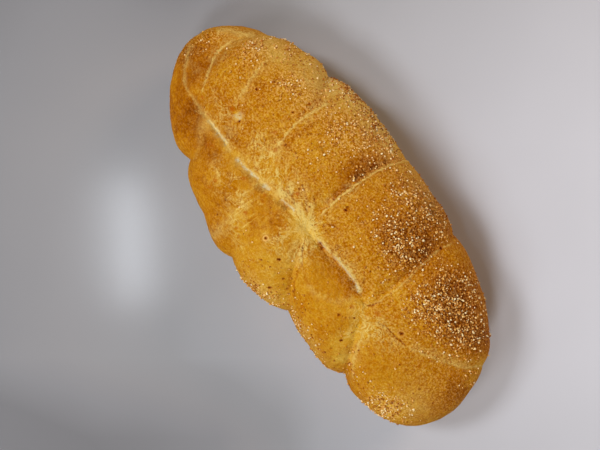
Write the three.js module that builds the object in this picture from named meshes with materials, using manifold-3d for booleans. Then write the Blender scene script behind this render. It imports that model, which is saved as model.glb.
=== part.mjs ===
// A tear and share bread: rolls proved side by side in two rows and baked into one long loaf.
// A seam runs along the loaf, creases part the rolls from it to the rim, and coarse semolina
// clings to the browned crowns. The whole loaf is one solid.
// Millimetres, +Z up, +X along the loaf, the origin at the middle of the flat base.

import * as THREE from "three";
import { MeshSurfaceSampler } from "three/addons/math/MeshSurfaceSampler.js";
import { mergeVertices } from "three/addons/utils/BufferGeometryUtils.js";
import Module from "manifold-3d";

const wasm = await Module();
wasm.setup();

// The plain body, before the rolls are shaped: a superellipsoid about its widest level.
const BODY = {
  length: 314,
  width: 141,
  height: 71,
  waist: 26, // the widest level, above the base
  keel: 42, // how far the body would reach below the waist if the base weren't flat
  taper: -0.02, // how much narrower the +X end is than the middle, as a share
  slant: -9.5, // how far the tip of the +X end lies off the centre line
  slantFrom: 105, // where along the loaf that slant begins
};
const SQUARENESS = { along: 2.4, across: 2.2, up: 2.2, down: 2.6 };

// The rows meet along the seam, given as points (x, y) of its line.
const SEAM = [[-115, -27], [-83, -28], [-44, -23], [-8, -17], [20, -15], [40, -11], [58, -15]];

// Each crease runs over the loaf through the points (x, y) of its route. It has a depth at its first
// and last point, and a reach to each side over which the rolls round down into it.
const CREASES = {
  seam_upper: { route: SEAM.slice(0, 4), depth: [2.6, 5.0], reach: 12 },
  seam_pocket: { route: SEAM.slice(3), depth: [6.0, 4.5], reach: 11 },
  left_0: { route: [[-115, -27], [-132, -29], [-142, -20], [-160, 8]], depth: [1.6, 0.6], reach: 8 },
  right_0: { route: [[-117, -25], [-126, -12], [-137, 10], [-130, 46]], depth: [1.4, 2.6], reach: 9 },
  right_1: { route: [[-102, -14], [-102, 4], [-105, 24], [-107, 62]], depth: [0.6, 1.0], reach: 10 },
  right_2: { route: [[-56, -14], [-64, 10], [-66, 34], [-58, 62]], depth: [1.4, 0.6], reach: 10 },
  right_2_rim: { route: [[-67, 38], [-76, 52], [-87, 68]], depth: [1.0, 6.0], reach: 9 },
  right_3: { route: [[-7, -15], [-12, 8], [-13, 30], [-3, 74]], depth: [3.2, 1.6], reach: 11 },
  right_4: { route: [[59, -14], [57, 6], [56, 30], [57, 74]], depth: [2.4, 3.2], reach: 10 },
  right_5: { route: [[58, -15], [80, -11], [126, 12], [148, 36]], depth: [2.0, 2.1], reach: 10 },
  left_5: { route: [[58, -16], [68, -30], [94, -60]], depth: [2.2, 9.0], reach: 11 },
  left_4: { route: [[-5, -20], [6, -34], [16, -46], [36, -68]], depth: [2.8, 9.0], reach: 10 },
  left_3: { route: [[-34, -55], [-25, -63], [-15, -76]], depth: [0.5, 7.0], reach: 9 },
  left_2: { route: [[-30, -30], [-41, -50], [-62, -76]], depth: [0.8, 1.5], reach: 10 },
  left_1: { route: [[-98, -34], [-92, -46], [-94, -64]], depth: [1.4, 7.5], reach: 9 },
};

// Rises and hollows between the creases: the centre (x, y), the reach along and across the loaf,
// the turn in degrees, and the lift. The first are the crowns of the rolls.
const SWELLS = {
  right_roll_5: { at: [92, 26], reach: [28, 26], turn: 20, lift: 3.0 },
  right_roll_4: { at: [23, 26], reach: [28, 28], turn: 0, lift: 3.0 },
  right_roll_3: { at: [-38, 28], reach: [22, 30], turn: 0, lift: 2.6 },
  right_roll_2: { at: [-84, 22], reach: [18, 26], turn: 0, lift: 1.8 },
  right_roll_1: { at: [-120, 12], reach: [12, 22], turn: 0, lift: 1.4 },
  left_roll_6: { at: [106, -26], reach: [24, 22], turn: 0, lift: 2.2 },
  left_roll_5: { at: [52, -42], reach: [22, 16], turn: 0, lift: 2.4 },
  left_roll_4: { at: [-8, -46], reach: [20, 14], turn: 0, lift: 2.0 },
  left_roll_2: { at: [-70, -46], reach: [18, 12], turn: 0, lift: 1.2 },
  pocket_hollow: { at: [33, -22], reach: [24, 9], turn: 4, lift: -4.0 },
  end_hollow: { at: [-112, -37], reach: [18, 8], turn: -8, lift: -3.0 },
  // round the rim
  rim_left_5: { at: [58, -76], reach: [34, 14], turn: 0, lift: -8.0 },
  rim_left_3: { at: [-30, -78], reach: [36, 14], turn: 0, lift: 6.6 },
  rim_right_6: { at: [148, 40], reach: [18, 20], turn: 0, lift: 5.4 },
  rim_right_5: { at: [100, 68], reach: [32, 16], turn: 0, lift: -2.6 },
  rim_right_4: { at: [24, 74], reach: [32, 14], turn: 0, lift: -1.2 },
  rim_right_3: { at: [-28, 74], reach: [18, 14], turn: 0, lift: -1.2 },
  far_tip: { at: [-158, -4], reach: [14, 20], turn: 0, lift: 2.8 },
  near_tip: { at: [158, 16], reach: [12, 12], turn: 0, lift: -2.4 },
};

// How the body is cut into cells, along, across and up.
const CELLS = { along: 57, across: 27, up: 18 };
const ROUTE_STEPS = 30;
const NEWTON_STEPS = 8;
const WELD = 1e-5; // vertices this close are one
const CREASE_BLEND = 4; // how sharply the deeper of two meeting creases wins
const GROOVE = { share: 0.5, pinch: 0.35, round: 2 }; // a narrow groove in a wide one, round inside
const FADE = { level: 22, rest: 0.3 }; // below this level the relief fades to this share of it

// Semolina: the coarsest grains, which show from a step away.
const GRAIN = { count: 96, least: 1.3, most: 1.8, sink: 0.3, squash: 0.75, seed: 7 };
// Where it lies: patches on the crowns of the rolls, with the share of the grains that each has.
const GRAIN_PATCHES = {
  right_roll_5: { at: [100, 30], reach: [26, 20], share: 1.0 },
  right_roll_4: { at: [30, 40], reach: [28, 20], share: 0.85 },
  right_roll_3: { at: [-38, 44], reach: [22, 18], share: 0.55 },
  right_roll_2: { at: [-88, 30], reach: [18, 20], share: 0.45 },
  left_roll_6: { at: [124, -46], reach: [24, 10], share: 0.45 },
  left_roll_4: { at: [10, -64], reach: [14, 8], share: 0.35 },
};

const CRUST_LOOK = { name: "crust", color: 0xc4842f, roughness: 0.62, metalness: 0 };

const clamp01 = (value) => Math.min(1, Math.max(0, value));
const smooth = (value) => clamp01(value) ** 2 * (3 - 2 * clamp01(value));

// A point of a cube with faces at -1 and 1, moved out or in to the unit sphere with even spacing.
function cubeToSphere(point) {
  const { x, y, z } = point;
  const [xx, yy, zz] = [x * x, y * y, z * z];
  return new THREE.Vector3(
    x * Math.sqrt(1 - yy / 2 - zz / 2 + (yy * zz) / 3),
    y * Math.sqrt(1 - zz / 2 - xx / 2 + (zz * xx) / 3),
    z * Math.sqrt(1 - xx / 2 - yy / 2 + (xx * yy) / 3),
  );
}

// The plain body's surface in a direction from the middle of its waist.
function bodyPoint(direction) {
  const parts = direction.toArray().map(Math.abs);
  const powers = [SQUARENESS.along, SQUARENESS.across, direction.z > 0 ? SQUARENESS.up : SQUARENESS.down];
  let out = 1;
  for (let step = 0; step < NEWTON_STEPS; step += 1) {
    const terms = parts.map((part, i) => (out * part) ** powers[i]);
    const value = terms[0] + terms[1] + terms[2] - 1;
    const slope = terms.reduce((sum, term, i) => sum + (powers[i] * term) / out, 0);
    out -= value / slope;
  }
  const x = (direction.x * out * BODY.length) / 2;
  const across = (direction.y * out * BODY.width) / 2;
  const rise = direction.z > 0 ? BODY.height - BODY.waist : BODY.keel;
  const slanted = smooth((x - BODY.slantFrom) / (BODY.length / 2 - BODY.slantFrom));
  const y = across * (1 - (BODY.taper * x) / (BODY.length / 2)) + BODY.slant * slanted;
  return new THREE.Vector3(x, y, BODY.waist + direction.z * out * rise);
}

// Each crease with its line as short straight stretches.
const creaseLines = Object.values(CREASES).map((crease) => ({
  ...crease,
  line: new THREE.SplineCurve(crease.route.map((point) => new THREE.Vector2(...point))).getPoints(ROUTE_STEPS),
}));

// How far (x, y) is from a line, and how far along the line its nearest point is, from 0 to 1.
function nearestOnLine(line, x, y) {
  let best = { distance: Infinity, along: 0 };
  for (let i = 0; i < line.length - 1; i += 1) {
    const [dx, dy] = [line[i + 1].x - line[i].x, line[i + 1].y - line[i].y];
    const share = clamp01(((x - line[i].x) * dx + (y - line[i].y) * dy) / (dx * dx + dy * dy));
    const distance = Math.hypot(x - line[i].x - share * dx, y - line[i].y - share * dy);
    if (distance < best.distance) best = { distance, along: (i + share) / (line.length - 1) };
  }
  return best;
}

// How far the creases pull the crust in over (x, y).
function creaseDepth(x, y) {
  let sum = 0;
  for (const { line, depth, reach } of creaseLines) {
    const { distance, along } = nearestOnLine(line, x, y);
    const off = (Math.hypot(distance, GROOVE.round) - GROOVE.round) / reach;
    const narrow = Math.exp(-off / GROOVE.pinch);
    const wide = Math.exp(-off * off);
    const here = depth[0] + (depth[1] - depth[0]) * along;
    sum += (here * (GROOVE.share * narrow + (1 - GROOVE.share) * wide)) ** CREASE_BLEND;
  }
  return sum ** (1 / CREASE_BLEND);
}

// A patch's strength over (x, y): 1 at its centre, fading beyond its reach.
function patchStrength({ at, reach, turn = 0 }, x, y) {
  const angle = THREE.MathUtils.degToRad(turn);
  const [dx, dy] = [x - at[0], y - at[1]];
  const along = (dx * Math.cos(angle) + dy * Math.sin(angle)) / reach[0];
  const across = (dy * Math.cos(angle) - dx * Math.sin(angle)) / reach[1];
  return Math.exp(-(along * along + across * across));
}

// How far the crust stands out of the plain body at a point of it.
function relief({ x, y, z }) {
  const swells = Object.values(SWELLS);
  const lift = swells.reduce((sum, swell) => sum + swell.lift * patchStrength(swell, x, y), 0);
  return (lift - creaseDepth(x, y)) * (FADE.rest + (1 - FADE.rest) * smooth(z / FADE.level));
}

// The crust as a closed surface that still reaches below the base.
function crustGeometry() {
  const cube = new THREE.BoxGeometry(2, 2, 2, CELLS.along, CELLS.across, CELLS.up);
  cube.deleteAttribute("normal");
  cube.deleteAttribute("uv");
  const geometry = mergeVertices(cube, WELD);
  const position = geometry.getAttribute("position");
  const point = new THREE.Vector3();
  for (let i = 0; i < position.count; i += 1) {
    const onBody = bodyPoint(cubeToSphere(point.fromBufferAttribute(position, i)));
    position.setXYZ(i, ...onBody.toArray());
  }
  geometry.computeVertexNormals();
  const normal = geometry.getAttribute("normal").clone();
  const out = new THREE.Vector3();
  for (let i = 0; i < position.count; i += 1) {
    point.fromBufferAttribute(position, i);
    out.fromBufferAttribute(normal, i).multiplyScalar(relief(point));
    position.setXYZ(i, ...point.add(out).toArray());
  }
  return geometry;
}

// A closed geometry as a solid that can be cut and joined.
function toSolid(geometry) {
  const plain = geometry.clone();
  plain.deleteAttribute("normal");
  plain.deleteAttribute("uv");
  const merged = mergeVertices(plain, WELD);
  return new wasm.Manifold(
    new wasm.Mesh({
      numProp: 3,
      vertProperties: new Float32Array(merged.getAttribute("position").array),
      triVerts: new Uint32Array(merged.getIndex().array),
    }),
  );
}

function toGeometry(solid) {
  const { vertProperties, triVerts } = solid.getMesh();
  const geometry = new THREE.BufferGeometry();
  geometry.setAttribute("position", new THREE.BufferAttribute(vertProperties, 3));
  geometry.setIndex(new THREE.BufferAttribute(triVerts, 1));
  return geometry;
}

// Everything above the base, so that what it keeps of the crust has a flat foot.
function aboveBase() {
  const tall = BODY.height * 2;
  const block = new THREE.BoxGeometry(BODY.length * 2, BODY.width * 2, tall);
  return toSolid(block.translate(0, 0, tall / 2));
}

// The semolina's places: drawn over the crust, thickest in the patches.
function grainSolids(crust) {
  const position = crust.getAttribute("position");
  const patches = Object.values(GRAIN_PATCHES);
  const weights = new Float32Array(position.count);
  for (let i = 0; i < position.count; i += 1) {
    const [x, y, z] = [position.getX(i), position.getY(i), position.getZ(i)];
    const strength = patches.reduce((sum, patch) => sum + patch.share * patchStrength(patch, x, y), 0);
    weights[i] = z > BODY.waist ? strength ** 2 : 0;
  }
  crust.setAttribute("sprinkle", new THREE.BufferAttribute(weights, 1));
  THREE.MathUtils.seededRandom(GRAIN.seed);
  const random = () => THREE.MathUtils.seededRandom();
  const sampler = new MeshSurfaceSampler(new THREE.Mesh(crust)).setWeightAttribute("sprinkle");
  sampler.setRandomGenerator(random).build();
  const [at, out] = [new THREE.Vector3(), new THREE.Vector3()];
  return Array.from({ length: GRAIN.count }, () => {
    sampler.sample(at, out);
    const radius = (GRAIN.least + (GRAIN.most - GRAIN.least) * random()) / 2;
    const grain = new THREE.OctahedronGeometry(radius);
    grain.scale(1, GRAIN.squash, GRAIN.squash);
    grain.rotateX(random() * Math.PI).rotateY(random() * Math.PI).rotateZ(random() * Math.PI);
    at.addScaledVector(out, radius * (1 - GRAIN.squash) - GRAIN.sink);
    return toSolid(grain.translate(at.x, at.y, at.z));
  });
}

// The loaf, with its base flat and its grains fused on, centred over the origin.
function loafGeometry() {
  const crust = crustGeometry();
  let solid = toSolid(crust);
  for (const grain of grainSolids(crust)) solid = solid.add(grain);
  const geometry = toGeometry(solid.intersect(aboveBase()));
  geometry.computeBoundingBox();
  const middle = geometry.boundingBox.getCenter(new THREE.Vector3());
  return geometry.translate(-middle.x, -middle.y, 0);
}

const bread = new THREE.Group();
const loaf = new THREE.Mesh(loafGeometry(), new THREE.MeshStandardMaterial(CRUST_LOOK));
loaf.name = "loaf";
bread.add(loaf);

export default bread;
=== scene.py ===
# A tear and share bread, seen from straight above in soft light from the left: two rows of rolls
# baked into one long loaf, pale and floury in the seam, brown on the crowns, with coarse semolina.
#
# Lengths in this file are in millimetres, in the frame of the solid before it is centred, and
# make_mesh() brings a finished piece into the scene.

import math
from itertools import product

import bpy
import numpy as np
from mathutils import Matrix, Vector


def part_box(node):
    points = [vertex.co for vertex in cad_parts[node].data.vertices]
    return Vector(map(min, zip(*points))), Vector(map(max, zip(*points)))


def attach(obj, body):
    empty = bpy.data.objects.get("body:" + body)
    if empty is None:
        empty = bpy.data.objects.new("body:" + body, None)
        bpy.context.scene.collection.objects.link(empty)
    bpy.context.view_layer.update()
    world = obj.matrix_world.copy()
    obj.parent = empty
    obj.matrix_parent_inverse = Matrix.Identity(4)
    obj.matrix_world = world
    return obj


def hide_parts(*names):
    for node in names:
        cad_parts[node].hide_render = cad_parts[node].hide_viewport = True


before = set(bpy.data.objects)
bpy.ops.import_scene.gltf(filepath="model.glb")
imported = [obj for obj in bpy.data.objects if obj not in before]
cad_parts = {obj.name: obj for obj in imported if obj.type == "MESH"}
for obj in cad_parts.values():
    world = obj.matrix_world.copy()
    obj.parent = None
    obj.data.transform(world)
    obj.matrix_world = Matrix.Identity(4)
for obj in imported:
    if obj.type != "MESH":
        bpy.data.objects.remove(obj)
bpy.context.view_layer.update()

MM = 0.001

# ---- The form, the same as the solid's ----

BODY = {
    "length": 314,
    "width": 141,
    "height": 71,
    "waist": 26,  # the widest level, above the base
    "keel": 42,  # how far the body would reach below the waist if the base weren't flat
    "taper": -0.02,  # how much narrower the +X end is than the middle, as a share
    "slant": -9.5,  # how far the tip of the +X end lies off the centre line
    "slant_from": 105,  # where along the loaf that slant begins
}
SQUARENESS = {"along": 2.4, "across": 2.2, "up": 2.2, "down": 2.6}

# The rows meet along the seam.
SEAM = [(-115, -27), (-83, -28), (-44, -23), (-8, -17), (20, -15), (40, -11), (58, -15)]


def crease(route, depth, reach):
    """A crease: its route, its depth at both ends of the route, and its reach to each side."""
    return {"route": route, "depth": depth, "reach": reach}


CREASES = {
    "seam_upper": crease(SEAM[:4], (2.6, 5.0), 12),
    "seam_pocket": crease(SEAM[3:], (6.0, 4.5), 11),
    "left_0": crease([(-115, -27), (-132, -29), (-142, -20), (-160, 8)], (1.6, 0.6), 8),
    "right_0": crease([(-117, -25), (-126, -12), (-137, 10), (-130, 46)], (1.4, 2.6), 9),
    "right_1": crease([(-102, -14), (-102, 4), (-105, 24), (-107, 62)], (0.6, 1.0), 10),
    "right_2": crease([(-56, -14), (-64, 10), (-66, 34), (-58, 62)], (1.4, 0.6), 10),
    "right_2_rim": crease([(-67, 38), (-76, 52), (-87, 68)], (1.0, 6.0), 9),
    "right_3": crease([(-7, -15), (-12, 8), (-13, 30), (-3, 74)], (3.2, 1.6), 11),
    "right_4": crease([(59, -14), (57, 6), (56, 30), (57, 74)], (2.4, 3.2), 10),
    "right_5": crease([(58, -15), (80, -11), (126, 12), (148, 36)], (2.0, 2.1), 10),
    "left_5": crease([(58, -16), (68, -30), (94, -60)], (2.2, 9.0), 11),
    "left_4": crease([(-5, -20), (6, -34), (16, -46), (36, -68)], (2.8, 9.0), 10),
    "left_3": crease([(-34, -55), (-25, -63), (-15, -76)], (0.5, 7.0), 9),
    "left_2": crease([(-30, -30), (-41, -50), (-62, -76)], (0.8, 1.5), 10),
    "left_1": crease([(-98, -34), (-92, -46), (-94, -64)], (1.4, 7.5), 9),
}


def swell(at, reach, lift, turn=0):
    """A rise or hollow between the creases."""
    return {"at": at, "reach": reach, "turn": turn, "lift": lift}


SWELLS = {
    "right_roll_5": swell((92, 26), (28, 26), 3.0, turn=20),
    "right_roll_4": swell((23, 26), (28, 28), 3.0),
    "right_roll_3": swell((-38, 28), (22, 30), 2.6),
    "right_roll_2": swell((-84, 22), (18, 26), 1.8),
    "right_roll_1": swell((-120, 12), (12, 22), 1.4),
    "left_roll_6": swell((106, -26), (24, 22), 2.2),
    "left_roll_5": swell((52, -42), (22, 16), 2.4),
    "left_roll_4": swell((-8, -46), (20, 14), 2.0),
    "left_roll_2": swell((-70, -46), (18, 12), 1.2),
    "pocket_hollow": swell((33, -22), (24, 9), -4.0, turn=4),
    "end_hollow": swell((-112, -37), (18, 8), -3.0, turn=-8),
    "rim_left_5": swell((58, -76), (34, 14), -8.0),
    "rim_left_3": swell((-30, -78), (36, 14), 6.6),
    "rim_right_6": swell((148, 40), (18, 20), 5.4),
    "rim_right_5": swell((100, 68), (32, 16), -2.6),
    "rim_right_4": swell((24, 74), (32, 14), -1.2),
    "rim_right_3": swell((-28, 74), (18, 14), -1.2),
    "far_tip": swell((-158, -4), (14, 20), 2.8),
    "near_tip": swell((158, 16), (12, 12), -2.4),
}

ROUTE_STEPS = 30
NEWTON_STEPS = 8
CREASE_BLEND = 4  # how sharply the deeper of two meeting creases wins
GROOVE = {"share": 0.5, "pinch": 0.35, "round": 0.5}  # a narrow groove in a wide one
FADE = {"level": 22, "rest": 0.3}  # below this level the relief fades to this share of it

# ---- What the solid leaves out: fine relief, browning, flour, and some painted light and shade ----

# The crust is cut into these cells: along, across, and up below and above the waist.
CELLS = {"along": 290, "across": 131, "low": 14, "high": 48}
BASE_RINGS = 8
BASE_ROUND = 2.0  # how softly the side turns under at the base

# Uneven dough: the size of the bumps and how high they are.
LUMPS = [(38, 0.9), (17, 0.45), (8, 0.22), (4, 0.14), (2.2, 0.07)]

# Browning patches, with some painted light and shade among them: centre, reach, and how much browner (or
# paler) the crust is there.
BROWN_BASE = 0.41
BROWN_AND_PAINTED_LIGHT = [
    # mostly on the left row; the first three, beside the seam at the far end, are partly browner crust
    # and partly painted shade of the hollow below the seam
    (-114, -31, 11, 8, 0.26), (-110, -43, 20, 12, 0.26), (-86, -35, 18, 9, 0.20),
    (-98, -31, 6, 5, -0.12), (-129, -38, 9, 8, 0.10), (-84, -22, 9, 4, 0.20), (-113, -14, 8, 6, 0.14),
    (-146, -12, 8, 14, 0.36), (-133, -30, 10, 8, 0.10), (-80, -24, 10, 5, 0.14),
    (-40, -58, 14, 8, 0.08), (-88, -8, 12, 7, 0.08), (-70, -14, 24, 9, 0.08), (-35, -6, 16, 8, 0.06),
    (-58, -42, 24, 10, 0.08), (-38, -66, 12, 7, 0.16), (-28, -42, 12, 6, 0.16), (-81, -52, 12, 8, 0.06),
    (17, -60, 14, 6, -0.14), (127, -46, 12, 6, -0.12), (-74, -58, 14, 10, 0.10),
    (-54, -50, 16, 12, 0.08), (-24, -30, 13, 6, 0.18), (60, -59, 18, 8, 0.05), (101, -50, 14, 8, 0.10),
    (-7, -48, 18, 12, -0.10), (-36, -46, 8, 12, -0.16), (-68, -43, 7, 5, -0.12),
    # mostly on the right row
    (-132, -12, 7, 20, 0.34), (-140, 8, 10, 14, 0.08), (-100, -12, 18, 10, 0.10),
    (-131, -32, 10, 5, -0.06), (-95, 10, 8, 9, 0.12), (-110, 34, 12, 6, -0.22), (-93, 50, 12, 8, -0.14),
    (-58, 58, 9, 9, -0.26), (-58, 14, 4, 12, 0.16), (-40, 42, 14, 14, -0.04), (-82, 32, 16, 12, -0.08),
    (-17, 34, 10, 20, 0.20), (37, 38, 18, 22, 0.36), (27, 25, 12, 10, 0.18), (49, 34, 6, 14, 0.24),
    (28, 62, 20, 10, 0.20), (5, 22, 10, 14, 0.02), (98, 28, 20, 17, 0.46), (108, -24, 24, 18, 0.06),
    (142, -10, 10, 26, 0.14), (122, 32, 12, 10, 0.12), (80, 28, 14, 13, 0.14), (90, 36, 10, 8, 0.08),
    (108, 27, 8, 8, 0.08), (136, 12, 12, 16, -0.06), (112, -34, 20, 14, -0.06), (-46, 12, 10, 8, -0.06),
    (66, 42, 12, 14, 0.06), (-125, 42, 10, 10, -0.14), (-104, 54, 14, 10, -0.22),
    (-80, 62, 12, 12, -0.36), (-60, 60, 14, 10, -0.20), (-30, 64, 20, 10, -0.26), (4, 68, 20, 8, -0.12),
    (34, 67, 16, 7, -0.08), (96, -64, 40, 8, 0.06), (82, 27, 14, 14, 0.16), (80, 43, 10, 10, 0.20),
    (120, 38, 10, 12, 0.18), (92, 54, 16, 8, 0.14), (132, 6, 12, 12, 0.14), (143, 2, 9, 10, 0.14),
    (141, 14, 4, 4, -0.20), (139, 27, 6, 4, -0.26),
    # in the pocket and beside it
    # (24, -17) and (42, -14) are painted shade under the pocket's lip.
    (24, -17, 18, 7, 0.20), (42, -14, 8, 5, 0.22), (20, -5, 10, 5, 0.06), (7, -40, 7, 6, -0.12),
    # (68, -36) and (79, -48) here and (62, -26) below are paler: painted light on the shaded side of the
    # left_5 crease.
    (-5, -21, 6, 5, -0.10), (68, -36, 6, 9, -0.30), (79, -48, 5, 6, -0.28), (88, -34, 8, 8, 0.08),
    (-15, 12, 6, 9, -0.20), (46, -14, 5, 5, 0.12), (62, -26, 7, 5, -0.14), (-8, -25, 7, 5, -0.12),
    (3, -28, 3, 6, 0.12), (40, -40, 18, 8, 0.05),
    # where the rolls meet
    (-10, -16, 9, 7, -0.36), (1, -15, 6, 5, -0.34), (53, -17, 7, 6, -0.22), (59, 6, 7, 5, -0.14),
    (8, -4, 6, 4, 0.06), (21, -4, 6, 5, 0.08), (-75, -27, 12, 6, -0.24), (-50, -12, 22, 8, -0.10),
    (-90, -10, 4, 3, -0.42),
]

# Paler patches, mostly down the flanks, and one of painted light at the left_5 crease: centre, reach and
# how floury.
FLOURY_AND_PAINTED_LIGHT = [
    (-40, 63, 28, 10, 0.60), (-78, 50, 14, 11, 0.56), (-118, 38, 16, 10, 0.36), (20, 62, 20, 8, 0.28),
    (-22, -38, 9, 5, 0.10), (131, -24, 16, 12, 0.20), (14, -66, 14, 6, 0.30), (60, -60, 22, 6, 0.16),
    # (80, -43) on this line is painted light: paler on the shaded side of the left_5 crease.
    (-101, -32, 6, 5, 0.25), (80, -43, 8, 8, 0.16), (3, -36, 6, 10, 0.16),
]

def line(width, route, **what):
    """A line on the crust: its half width, its route, and what is there: pale flour, grey ash, browner
    baking, and the darkest kind, which is scorched crust and, beside the seam's slits, painted shadow.
    Lift is how far the line stands up."""
    return {"route": route, "width": width, **what}


LINES = [
    line(1.6, [(-106, -29), (-118, -28), (-131, -26), (-144, -16), (-152, -5)], flour=0.30, lift=0.3),
    line(0.9, [(-118, -21), (-124, -13), (-131, -4), (-137, 6), (-138, 19)], flour=0.50, lift=0.4),
    line(4.0, [(-131, -4), (-137, 6), (-138, 19), (-134, 30)], flour=0.12),
    line(1.0, [(-99, -4), (-103, 7), (-108, 20), (-110, 28)], flour=0.30, lift=0.3),
    line(3.2, [(-98, -6), (-102, 6), (-107, 20), (-108, 32), (-104, 44)], flour=0.13),
    line(0.8, [(-58, -2), (-62, 8), (-64, 20), (-64, 34), (-64, 44)], flour=0.70, lift=0.5),
    line(3.5, [(-55, -6), (-61, 4)], flour=0.30),
    line(2.6, [(-67, 20), (-68, 32), (-67, 42)], bake=0.20),
    line(0.6, [(-7, -8), (-9, 6), (-10, 20), (-10, 34), (-9, 46), (-5, 62),
         (-1, 72)], flour=0.85, lift=0.7),
    line(6.0, [(-13, 8), (-16, 24), (-16, 42), (-12, 58)], bake=0.16),
    line(1.8, [(-12, 2), (-13, 22), (-13, 42), (-9, 58)], bake=0.22, lift=-0.8),
    line(0.6, [(59, -9), (59, 3), (58, 16), (56, 34), (56, 46), (59, 60)], flour=0.50, lift=0.4),
    line(0.9, [(56, -6), (56, 10), (54, 30), (54, 46)], bake=0.12, lift=-0.4),
    line(0.5, [(69, -14), (76, -11), (84, -10), (93, -7)], bake=0.32, lift=-0.3),
    line(1.0, [(68, -16), (76, -13), (85, -12), (93, -9)], flour=0.35, lift=0.3),
    line(1.0, [(92, -8), (106, 0), (120, 8), (130, 16), (141, 29)], flour=0.50, lift=0.4),
    line(2.4, [(92, -6), (106, 3), (120, 11), (132, 20)], flour=0.20),
    line(0.6, [(53, -14), (56, -14), (58, -12), (60, -5)], bake=0.36, lift=-0.6),
    line(1.1, [(61, -19), (68, -23), (76, -34), (83, -43), (88, -47), (97, -54)], flour=0.38),
    line(1.2, [(60, -27), (66, -35)], flour=0.25),
    line(0.85, [(-1, -15), (7, -13.4), (17, -12), (27, -10.6), (37, -9.7), (45, -10.8),
         (49, -13.5)], flour=0.68, lift=0.9),
    line(0.7, [(2, -15.5), (14, -13.5), (24, -12), (36, -10.8), (44, -11.5), (48, -13.5)], ash=0.7),
    line(3.0, [(2, -12), (14, -10), (26, -8), (38, -7), (46, -9)], flour=0.06),
    line(1.8, [(22, -37), (34, -34), (45, -26), (49, -17)], flour=0.20),
    line(2.4, [(-114, -26), (-101, -28), (-89, -27), (-79, -27), (-74, -27)], flour=0.40, lift=-0.3),
    line(1.1, [(-103, -28), (-89, -27), (-80, -27)], flour=0.65, ash=0.60, lift=-0.8),
    line(5.0, [(-74, -27), (-59, -25), (-39, -21), (-21, -16), (-9, -17), (-4, -19)], flour=0.20),
    line(1.2, [(-68, -26), (-54, -24), (-39, -20), (-27, -17), (-15, -16)], flour=0.30),
    line(1.1, [(-70, -27), (-61, -26), (-54, -24.5), (-49, -23)], ash=0.90, lift=-0.6),
    # The dark lines here at (-68, -29.5), (-48, -26.5) and (-31, -20.5) are painted shadows beside the
    # seam's slits.
    line(1.6, [(-68, -29.5), (-60, -28.5), (-50, -26)], char=0.16, lift=-0.9),
    line(1.1, [(-46, -23), (-42, -21.5), (-39, -21.5)], ash=0.75, lift=-0.7),
    line(1.7, [(-48, -26.5), (-41, -24.5)], char=0.30, lift=-0.9),
    line(1.5, [(-31, -20.5), (-23, -19)], char=0.25, lift=-0.8),
    line(0.9, [(-31, -18.5), (-24, -17)], ash=0.75, lift=-0.3),
    line(0.9, [(-24, -17), (-19, -16)], ash=0.80, lift=-0.6),
    line(0.6, [(0, -23), (5, -28), (9, -31), (13, -34)], bake=0.34, lift=-0.5),
    line(0.9, [(11, -33), (13, -37), (16, -42), (21, -48), (31, -55)], bake=0.22, lift=-0.4),
    line(2.4, [(-2, -22), (2, -26), (7, -31), (10, -38)], flour=0.20),
    line(0.8, [(0, -21), (5, -26)], flour=0.5, lift=0.3),
    line(3.2, [(-40, -34), (-41, -48), (-39, -62), (-38, -70)], flour=0.26),
    line(0.9, [(-51, -40), (-48, -38), (-47, -31)], flour=0.45, lift=0.2),
    line(0.8, [(-59, -43), (-56, -46), (-52, -48), (-49, -46)], bake=0.12, lift=-0.3),
    line(2.2, [(-103, -35), (-93, -44), (-87, -53)], flour=0.14),
    line(1.2, [(-73, -40), (-68, -42), (-62, -44)], flour=0.34, lift=0.2),
    line(1.5, [(-22, -10), (-16, -12), (-8, -16)], flour=0.55, lift=0.3),
    line(1.4, [(-18, -4), (-13, -7), (-6, -14)], flour=0.50, lift=0.3),
    line(1.3, [(-38, -18), (-27, -13), (-15, -15)], flour=0.50),
    line(1.4, [(-8, -21), (-10, -28), (-12, -35), (-15, -43)], flour=0.26),
    line(1.3, [(-4, -23), (-1, -31), (2, -37)], flour=0.28),
    line(1.3, [(-35, -9), (-29, -11), (-22, -13), (-15, -14)], bake=0.30, lift=-0.4),
    line(0.9, [(-31, -2), (-25, -4), (-17, -8), (-10, -12)], bake=0.30, lift=-0.3),
    line(1.2, [(-40, -14), (-35, -14), (-29, -14)], bake=0.22),
    line(0.7, [(-21, 0), (-14, -3)], char=0.30),
    line(0.7, [(39, -3), (44, -7)], char=0.40, lift=-0.2),
    line(0.6, [(-43, 21), (-39, 21), (-35, 20), (-32, 21)], char=0.40, lift=-0.3),
    line(1.0, [(-14, -38), (-13, -34), (-13, -31)], bake=0.22, lift=-0.3),
    line(1.0, [(-2, -8), (0, -4), (3, -1), (7, 0)], bake=0.22),
    line(2.6, [(-38, 60), (-30, 61), (-22, 61), (-13, 63)], flour=0.70, lift=0.5),
    line(4.0, [(-96, 58), (-74, 62), (-56, 60), (-40, 61)], flour=0.14),
    line(2.4, [(-92, -9), (-87, -10)], ash=0.60),
    line(2.6, [(-150, 12), (-146, 19), (-140, 25), (-132, 34)], flour=0.45, lift=0.3),
]

FINE_KINDS = ("flour", "bake", "char", "ash")
WIDE = 3.0  # lines of this half width or more are laid on the mesh
LEAST_LIFT = 1.2  # the narrowest half width that the mesh can lift
FAR_OFF = 6.0  # the offset, in widths, where a fine line or spot ends
TOP = 20  # lines and spots lie above this level only
FILLED = swell((74, -40), (8, 10), 1.3)  # softens the hollow beside left_5

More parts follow.
